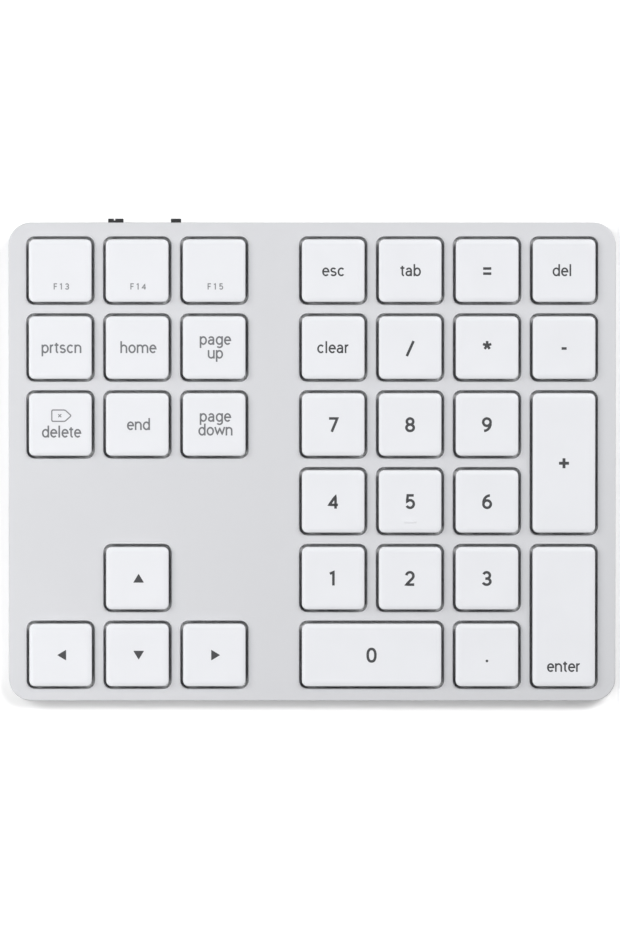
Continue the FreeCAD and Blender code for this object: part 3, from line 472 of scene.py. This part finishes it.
# Letter: width of its cell, and its strokes
GLYPHS = {
    "a": (0.76, [arc(0.37, 0.475, 0.22, 0.205, 158, 0) + [(0.59, 0.0)],
                 [(0.59, 0.41), (0.38, 0.41)] + arc(0.34, 0.235, 0.21, 0.175, 90, 270)
                 + [(0.45, 0.085), (0.59, 0.22)]]),
    "b": (0.79, [[(0.13, 0.0), (0.13, 1.04)], oval(0.40, 0.37, 0.27, 0.31)]),
    "c": (0.73, [arc(0.39, 0.37, 0.27, 0.31, 42, 318)]),
    "d": (0.79, [[(0.66, 0.0), (0.66, 1.04)], oval(0.39, 0.37, 0.27, 0.31)]),
    "e": (0.75, [[(0.13, 0.39), (0.655, 0.39)] + arc(0.39, 0.37, 0.265, 0.31, 4, 318)]),
    "g": (0.79, [oval(0.39, 0.37, 0.27, 0.31),
                 [(0.66, 0.74)] + arc(0.40, -0.02, 0.26, 0.2, 0, -145)]),
    "h": (0.775, [[(0.13, 0.0), (0.13, 1.04)], arc(0.385, 0.44, 0.255, 0.24, 180, 0) + [(0.64, 0.0)]]),
    "l": (0.34, [[(0.17, 0.0), (0.17, 1.04)]]),
    "m": (1.22, [[(0.13, 0.0), (0.13, 0.74)], arc(0.37, 0.45, 0.24, 0.23, 180, 0) + [(0.61, 0.0)],
                 arc(0.85, 0.45, 0.24, 0.23, 180, 0) + [(1.09, 0.0)]]),
    "n": (0.775, [[(0.13, 0.0), (0.13, 0.74)], arc(0.385, 0.44, 0.255, 0.24, 180, 0) + [(0.64, 0.0)]]),
    "o": (0.80, [oval(0.40, 0.37, 0.28, 0.31)]),
    "p": (0.79, [[(0.13, -0.28), (0.13, 0.74)], oval(0.40, 0.37, 0.27, 0.31)]),
    "r": (0.475, [[(0.13, 0.0), (0.13, 0.74)], arc(0.35, 0.44, 0.22, 0.24, 180, 78)]),
    "s": (0.71, [arc(0.35, 0.53, 0.20, 0.15, 22, 262) + arc(0.36, 0.215, 0.225, 0.155, 82, -158)]),
    "t": (0.46, [[(0.22, 0.89), (0.22, 0.22)] + arc(0.36, 0.21, 0.14, 0.15, 180, 280),
                 [(0.03, 0.70), (0.42, 0.70)]]),
    "u": (0.775, [[(0.13, 0.74)] + arc(0.385, 0.28, 0.255, 0.22, 180, 360), [(0.64, 0.74), (0.64, 0.0)]]),
    "w": (1.02, [[(0.05, 0.74), (0.28, 0.12), (0.51, 0.62), (0.74, 0.12), (0.97, 0.74)]]),
    "F": (0.76, [[(0.15, 0.0), (0.15, 0.94), (0.64, 0.94)], [(0.15, 0.50), (0.57, 0.50)]]),
    "0": (0.79, [oval(0.39, 0.5, 0.27, 0.44, 2.35)]),
    "1": (0.79, [[(0.16, 0.83), (0.41, 0.94), (0.41, 0.0)]]),
    "2": (0.79, [arc(0.38, 0.68, 0.25, 0.26, 172, -22) + [(0.56, 0.50), (0.12, 0.06), (0.69, 0.06)]]),
    "3": (0.79, [arc(0.37, 0.71, 0.23, 0.225, 160, -90) + [(0.28, 0.485)],
                 [(0.28, 0.49)] + arc(0.37, 0.275, 0.265, 0.215, 90, -162)]),
    "4": (0.79, [[(0.56, 0.0), (0.56, 0.88), (0.12, 0.27), (0.73, 0.27)]]),
    "5": (0.79, [[(0.65, 0.94), (0.23, 0.94), (0.18, 0.50)] + arc(0.39, 0.33, 0.265, 0.27, 138, -152)]),
    "6": (0.79, [[(0.60, 0.93)] + arc(0.60, 0.40, 0.46, 0.53, 97, 178), oval(0.40, 0.32, 0.26, 0.26)]),
    "7": (0.79, [[(0.10, 0.94), (0.68, 0.94), (0.29, 0.0)]]),
    "8": (0.79, [oval(0.39, 0.725, 0.225, 0.215), oval(0.39, 0.285, 0.26, 0.225)]),
    "9": (0.79, [[(0.18, 0.07)] + arc(0.18, 0.60, 0.46, 0.53, -83, -2), oval(0.38, 0.68, 0.26, 0.26)]),
    "=": (0.79, [[(0.11, 0.70), (0.69, 0.70)], [(0.11, 0.34), (0.69, 0.34)]]),
    "/": (0.58, [[(0.05, -0.10), (0.53, 0.97)]]),
    "-": (0.50, [[(0.07, 0.45), (0.43, 0.45)]]),
    "+": (0.79, [[(0.05, 0.5), (0.74, 0.5)], [(0.395, 0.155), (0.395, 0.845)]]),
    "*": (0.70, star(0.35, 0.67, 0.31)),
}
# Capital height, stroke, width of a letter against its height, extra space between letters
WORD = (2.85, 0.42, 0.92, 0.0)
PALE_WORD = (2.85, 0.42, 0.90, 0.0)
DIGIT = (3.5, 0.65, 1.0, 0.0)
SIGN = (3.6, 0.74, 1.0, 0.0)
SMALL = (1.5, 0.28, 0.98, 0.28)
INK_PROUD = 0.006 * MM        # print above the surface of its keycap
INK_LAYER = 0.0015 * MM       # strokes that cross stand this much above one another
INK_SUNK = 0.02 * MM          # lower side of the print, inside the keycap
INK_LAYERS = 4
SHARPEST_MITRE = 0.6          # sharper corners of a stroke are cut short

# Key name: lines of text, each with its style and its baseline from the key's centre, in mm
LEGENDS = {
    "key_esc": [("esc", WORD, -1.35)],
    "key_tab": [("tab", WORD, -1.35)],
    "key_del": [("del", WORD, -1.35)],
    "key_clear": [("clear", WORD, -1.35)],
    "key_prtscn": [("prtscn", PALE_WORD, -1.35)],
    "key_home": [("home", PALE_WORD, -1.35)],
    "key_end": [("end", PALE_WORD, -1.35)],
    "key_page_up": [("page", PALE_WORD, 0.7), ("up", PALE_WORD, -2.7)],
    "key_page_down": [("page", PALE_WORD, 0.7), ("down", PALE_WORD, -2.7)],
    "key_delete": [("delete", PALE_WORD, -3.2)],
    "key_enter": [("enter", WORD, -13.65)],
    "key_equals": [("=", DIGIT, -1.92)],
    "key_divide": [("/", DIGIT, -1.75)],
    "key_multiply": [("*", DIGIT, -1.78)],
    "key_minus": [("-", DIGIT, -1.78)],
    "key_plus": [("+", SIGN, -1.85)],
    "key_f13": [("F13", SMALL, -4.65)],
    "key_f14": [("F14", SMALL, -4.65)],
    "key_f15": [("F15", SMALL, -4.65)],
}
for digit in "0123456789":
    LEGENDS["key_" + digit] = [(digit, DIGIT, -1.78)]
ARROW_TURNS = {"key_up": 0, "key_left": 90, "key_down": 180, "key_right": 270}
PALE_KEYS = {"key_prtscn", "key_home", "key_end", "key_page_up", "key_page_down", "key_delete"}
FAINT_KEYS = {"key_f13", "key_f14", "key_f15"}
LEFT_KEYS = {*PALE_KEYS, *FAINT_KEYS, *ARROW_TURNS}
# How far to the right of the middle of their keys the legends stand, in mm
LEGEND_SHIFTS = {**dict.fromkeys(LEFT_KEYS, 0.32), "key_del": -0.57}


def dense(line, longest=0.45):
    """The same line with points no further apart than the given length."""
    points = [Vector(line[0])]
    for target in map(Vector, line[1:]):
        start = points[-1]
        pieces = max(1, math.ceil((target - start).length / longest))
        points += [start.lerp(target, i / pieces) for i in range(1, pieces + 1)]
    return points


def stroke_sides(line, width):
    """Left and right edges of a stroke, mitred at its bends, and whether it is a closed loop."""
    points = dense(line)
    closed = (points[0] - points[-1]).length < 1e-6
    if closed:
        points.pop()
    left, right = [], []
    for i, point in enumerate(points):
        if closed:
            before, after = points[i - 1], points[(i + 1) % len(points)]
        else:
            before, after = points[max(i - 1, 0)], points[min(i + 1, len(points) - 1)]
        arriving = (point - before).normalized() if point != before else (after - point).normalized()
        leaving = (after - point).normalized() if after != point else arriving
        square = Vector((-(arriving.y + leaving.y), arriving.x + leaving.x)).normalized()
        stretch = max(SHARPEST_MITRE, square.dot(Vector((-arriving.y, arriving.x))))
        offset = square * (width / 2 / stretch)
        left.append(point + offset)
        right.append(point - offset)
    return left, right, closed


def text_lines(text, style, baseline, middle):
    """Strokes of a line of text, in mm from the key's centre."""
    height, _, narrowing, tracking = style
    strokes = []
    pen = 0.0
    for letter in text:
        advance, lines = GLYPHS[letter]
        for line in lines:
            strokes.append([(pen + x * height * narrowing, y * height + baseline) for x, y in line])
        pen += advance * height * narrowing + tracking
    xs = [x for line in strokes for x, _ in line]
    shift = middle - (min(xs) + max(xs)) / 2
    if text in "0123456789":
        shift = middle - pen / 2
    return [[(x + shift, y) for x, y in line] for line in strokes]


class KeyInk:
    """Print on one keycap: thin closed slabs that start just under its dished surface."""

    def __init__(self, name):
        self.name = name
        low, high = cap_extent(name)
        self.middle = (low + high) / 2
        self.top = high.z
        self.half_x = (high.x - low.x) / 2
        self.half_y = (high.y - low.y) / 2
        self.points = []
        self.faces = []
        self.layers = 0

    def lay(self, x, y):
        """Adds the upper and then the lower point of the print at one place."""
        x, y = x * MM, y * MM
        level = self.top - dish_at(x, y, self.half_x, self.half_y)
        lift = INK_PROUD + INK_LAYER * (self.layers % INK_LAYERS)
        for z in (level + lift, level - INK_SUNK):
            self.points.append((x + self.middle.x, y + self.middle.y, z))
        return len(self.points) - 2

    def stroke(self, line, width):
        left, right, closed = stroke_sides(line, width)
        rows = [(self.lay(*a), self.lay(*b)) for a, b in zip(left, right)]
        pairs = list(zip(rows, rows[1:]))
        if closed:
            pairs.append((rows[-1], rows[0]))
        else:
            (a, b), (c, d) = rows[0], rows[-1]
            self.faces += [(a, a + 1, b + 1, b), (d, d + 1, c + 1, c)]
        for (a, b), (c, d) in pairs:
            self.faces += [(a, b, d, c), (a + 1, c + 1, d + 1, b + 1)]
            self.faces += [(a, c, c + 1, a + 1), (b, b + 1, d + 1, d)]
        self.layers += 1

    def patch(self, corners):
        """Filled shape whose corners run anticlockwise."""
        ring = [self.lay(*corner) for corner in corners]
        self.faces.append(tuple(ring))
        self.faces.append(tuple(i + 1 for i in reversed(ring)))
        for a, b in zip(ring, ring[1:] + ring[:1]):
            self.faces.append((a, a + 1, b + 1, b))
        self.layers += 1

    def finish(self, material, suffix=""):
        piece = mesh_object("legend_" + self.name[4:] + suffix, self.points, self.faces, material)
        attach(piece, self.name)


def rounded(corners, radius):
    """Closed outline with its corners rounded, five points to each."""
    points = []
    for i, corner in enumerate(corners):
        here = Vector(corner)
        before, after = Vector(corners[i - 1]), Vector(corners[(i + 1) % len(corners)])
        start = here + (before - here).normalized() * radius
        end = here + (after - here).normalized() * radius
        points += [start.lerp(here, t).lerp(here.lerp(end, t), t) for t in (0, 0.25, 0.5, 0.75, 1)]
    return points


def arrow(turn, middle, size=1.34, radius=0.16):
    """Arrow of a cursor key, pointing up before it is turned, in mm."""
    corners = [(0.0, size * 0.86), (-size, -size * 0.80), (size, -size * 0.80)]
    spin = Matrix.Rotation(math.radians(turn), 2)
    return [spin @ point + Vector((middle, 0.0)) for point in rounded(corners, radius)]


def delete_icon(ink):
    """Forward-delete sign: a pentagon pointing right with a small cross in it, in mm."""
    left, shoulder, tip = -2.08, 1.17, 2.72
    level, half_height = 2.2, 1.4
    corner, outline_width = 0.35, 0.32
    cross_left, cross_right, cross_width = -0.50, 0.26, 0.26
    top, bottom = level + half_height, level - half_height
    loop = rounded([(left, top), (shoulder, top), (tip, level), (shoulder, bottom), (left, bottom)], corner)
    ink.stroke([tuple(p) for p in loop + loop[:1]], outline_width)
    for rise in (-0.38, 0.38):
        ink.stroke([(cross_left, level - rise), (cross_right, level + rise)], cross_width)


def decimal_point(radius=0.34, level=-1.45):
    """Round dot of the decimal key, in mm from the key's centre."""
    angles = [2 * math.pi * i / 16 for i in range(16)]
    return [(radius * math.cos(a), radius * math.sin(a) + level) for a in angles]


def legend_ink(key):
    if key in FAINT_KEYS:
        return LEGEND_FAINT
    return LEGEND_PALE if key in PALE_KEYS else LEGEND_GREY


for key in KEY_NODES:
    ink = KeyInk(key)
    middle = LEGEND_SHIFTS.get(key, 0.0)
    for text, style, baseline in LEGENDS.get(key, []):
        for line in text_lines(text, style, baseline, middle):
            ink.stroke(line, style[1])
    if key in ARROW_TURNS:
        ink.patch(arrow(ARROW_TURNS[key], middle))
    if key == "key_decimal":
        ink.patch(decimal_point())
    ink.finish(legend_ink(key))

icon = KeyInk("key_delete")
delete_icon(icon)
icon.finish(LEGEND_FAINT, "_icon")


# Springs and links under the keys -------------------------------------------------------

CAP_TOP = 2.0 * MM            # rim of a keycap above the deck


def split_by_key(node):
    """Faces of a group node sorted by the keycap that they lie under."""
    vertices = deck_vertices(node)
    extents = {key: cap_extent(key) for key in KEY_NODES}
    groups = {key: [] for key in KEY_NODES}
    for polygon in frame["nodes"][node].data.polygons:
        middle = sum((vertices[i] for i in polygon.vertices), Vector()) / len(polygon.vertices)
        for key, (low, high) in extents.items():
            if low.x < middle.x < high.x and low.y < middle.y < high.y:
                groups[key].append(tuple(polygon.vertices))
                break
    return vertices, groups


def flattening_pieces(node, angle):
    """One piece per key of a group node, holding the faces that lie under that key's cap."""
    vertices, groups = split_by_key(node)
    slot = slot_of_node[node]
    deck_level = cap_extent("key_5")[1].z - CAP_TOP
    for key, faces in groups.items():
        used = sorted({i for face in faces for i in face})
        index = {old: new for new, old in enumerate(used)}
        piece = mesh_object(
            node + "_" + key[4:], [vertices[i] for i in used],
            [tuple(index[i] for i in face) for face in faces], MATERIALS[slot], angle)
        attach(piece, "case")
        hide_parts(node)
        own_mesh(piece)


flattening_pieces("scissor_outer_frames", 40)
flattening_pieces("scissor_inner_frames", 40)
flattening_pieces("rubber_domes", 50)


# Studio ---------------------------------------------------------------------------------

FLOOR_HALF = 4.0
floor_corners = [(-FLOOR_HALF, -FLOOR_HALF, 0), (FLOOR_HALF, -FLOOR_HALF, 0),
                 (FLOOR_HALF, FLOOR_HALF, 0), (-FLOOR_HALF, FLOOR_HALF, 0)]
floor_mesh = bpy.data.meshes.new("floor")
floor_mesh.from_pydata(floor_corners, [], [(0, 1, 2, 3)])
floor_mesh.materials.append(
    surface("floor_paper", (0.95, 0.95, 0.95), 0.8, spread=0.003, patch=80 * MM, rough_spread=0.02,
            grain_size=0.5 * MM, grain_strength=0.05, grain_depth=0.01 * MM))
floor = bpy.data.objects.new("floor", floor_mesh)
scene.collection.objects.link(floor)


def add_light(name, position, size, power):
    """Soft box that points at the middle of the keypad."""
    light = bpy.data.lights.new(name, "AREA")
    light.shape = "RECTANGLE"
    light.size, light.size_y = size
    light.energy = power
    lamp = bpy.data.objects.new(name, light)
    lamp.location = position
    lamp.rotation_euler = (-Vector(position)).to_track_quat("-Z", "Y").to_euler()
    scene.collection.objects.link(lamp)


# Lamp: its position, its two sides and its power in watts
LAMPS = {
    "front_left": ((-0.30, -0.32, 0.95), (0.4, 0.4), 1.5),
    "near_left": ((-0.30, -0.20, 0.50), (0.2, 0.2), 0.9),
    "rear_right": ((0.5, 0.5, 1.2), (0.4, 0.4), 9.5),
    "low_left": ((-0.6, 0.2, 0.6), (0.4, 0.3), 3.7),
    "low_right": ((0.6, 0.25, 0.6), (0.4, 0.3), 2.3),
}
for name, (position, size, power) in LAMPS.items():
    add_light(name, position, size, power)

world = bpy.data.worlds.new("studio")
world.use_nodes = True
scene.world = world
sky = world.node_tree.nodes["Background"]
sky.inputs["Color"].default_value = (1.0, 1.0, 1.01, 1.0)
sky.inputs["Strength"].default_value = 0.1

# The camera hangs two metres above the floor with a long lens, a little off the middle.
CAMERA_HEIGHT = 2.0
VIEW_LENGTH = 229.8 * MM      # long side of the picture at the level of the deck
DECK_LEVEL = 8.0 * MM         # about the level of the keys above the floor
SENSOR = 36.0
camera_data = bpy.data.cameras.new("camera")
camera_data.sensor_fit = "AUTO"
camera_data.sensor_width = SENSOR
camera_data.clip_start, camera_data.clip_end = 0.1, 20.0
camera_data.lens = SENSOR * (CAMERA_HEIGHT - DECK_LEVEL) / VIEW_LENGTH
camera = bpy.data.objects.new("camera", camera_data)
camera.location = (-0.53 * MM, -1.23 * MM, CAMERA_HEIGHT)
scene.collection.objects.link(camera)
scene.camera = camera

scene.view_settings.view_transform = "Standard"
scene.view_settings.look = "None"
